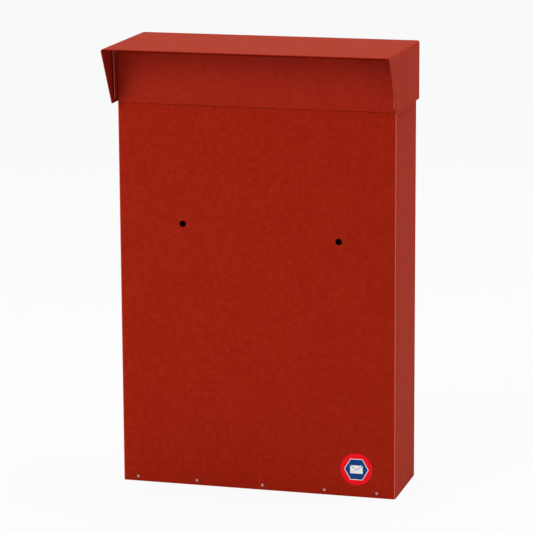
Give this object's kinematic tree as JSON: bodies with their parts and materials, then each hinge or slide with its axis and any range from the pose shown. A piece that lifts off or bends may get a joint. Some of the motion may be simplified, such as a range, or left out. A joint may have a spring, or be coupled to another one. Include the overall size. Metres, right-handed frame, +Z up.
{
  "type": "letter box",
  "caption": "Tall shallow sheet steel letter box with a hooded top, a lifting posting flap in front and a lockable emptying door behind.",
  "frame": {"origin": "centre of the case's underside, half way between its side walls and between its front and rear faces", "axes": "+Z up, the posting front faces -Y, the emptying door faces +Y, +X is to the right of someone who faces the front"},
  "size_m": [0.3868, 0.1794, 0.6],
  "materials": {
    "red_coat": "red powder coat with a fine orange-peel texture, semi-gloss",
    "zinc": "bright zinc plate, satin",
    "spring_steel": "black phosphated spring steel",
    "lock_plate": "nickel-plated zinc alloy, polished",
    "nylon": "natural nylon, matt",
    "label": "printed vinyl, gloss"
  },
  "bodies": {
    "case": {"body_shell": "red_coat", "bottom_tray": "red_coat", "rear_header": "red_coat", "front_rivets": "zinc", "sill_rivets": "zinc", "header_rivets": "zinc", "hood": "red_coat", "hood_nuts": "zinc", "flap_rod": "zinc", "label": "label", "pivot_washer": "nylon"},
    "flap": {"flap": "red_coat"},
    "door": {"door": "red_coat", "pivot_pins": "zinc", "pivot_clips": "spring_steel", "lock_housing": "lock_plate", "lock_nut": "zinc"},
    "lock": {"lock_plug": "lock_plate", "lock_cam": "zinc", "cam_screw": "zinc"}
  },
  "joints": [
    {"name": "flap_hinge", "type": "hinge", "parent": "case", "child": "flap", "pos_m": [0, -0.0625, 0.589], "axis": [-1, 0, 0], "range_deg": [0, 85]},
    {"name": "door_hinge", "type": "hinge", "parent": "case", "child": "door", "pos_m": [0.1605, 0.0525, 0.271], "axis": [0, 0, -1], "range_deg": [0, 120]},
    {"name": "lock_turn", "type": "hinge", "parent": "door", "child": "lock", "pos_m": [-0.15, 0.0525, 0.27], "axis": [0, 1, 0], "range_deg": [0, 90]}
  ]
}
